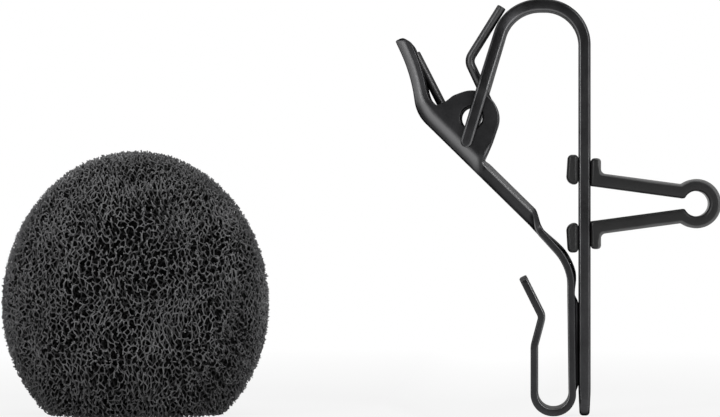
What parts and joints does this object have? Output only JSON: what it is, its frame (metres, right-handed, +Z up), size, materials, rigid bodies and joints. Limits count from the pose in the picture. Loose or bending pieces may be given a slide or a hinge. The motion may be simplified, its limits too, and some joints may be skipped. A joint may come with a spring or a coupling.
{
  "type": "lavalier microphone clip and windscreen",
  "caption": "Sprung lapel clip with a wire bow, a hooked jaw lever and a slotted ring for a small microphone, beside a rounded foam windscreen with a flat base.",
  "frame": {"origin": "on the surface that the pair stands on, under the middle of its box", "axes": "+X along the pair from the windscreen to the microphone ring, +Y away from the viewer of the picture, +Z up"},
  "size_m": [0.0628, 0.0232, 0.0363],
  "materials": {
    "foam": "open-cell foam, matte black",
    "bow_steel": "satin black",
    "lever_steel": "satin black",
    "spring_steel": "satin black",
    "holder_plastic": "matte black"
  },
  "bodies": {
    "bow": {"wire_bow": "bow_steel", "foam_windscreen": "foam"},
    "lever": {"jaw_lever": "lever_steel", "torsion_spring": "spring_steel"},
    "holder": {"mic_holder": "holder_plastic"}
  },
  "joints": [
    {"name": "jaw_hinge", "type": "hinge", "parent": "bow", "child": "lever", "pos_m": [0.0094, 0, 0.02387], "axis": [0, 1, 0], "range_deg": [0, 25], "stiffness_Nm_per_rad": 0.02, "springref_deg": -0.23, "deforming": ["torsion_spring"]},
    {"name": "holder_slide", "type": "slide", "parent": "bow", "child": "holder", "axis": [0, 0, 1], "range_m": [0, 0.008]}
  ]
}
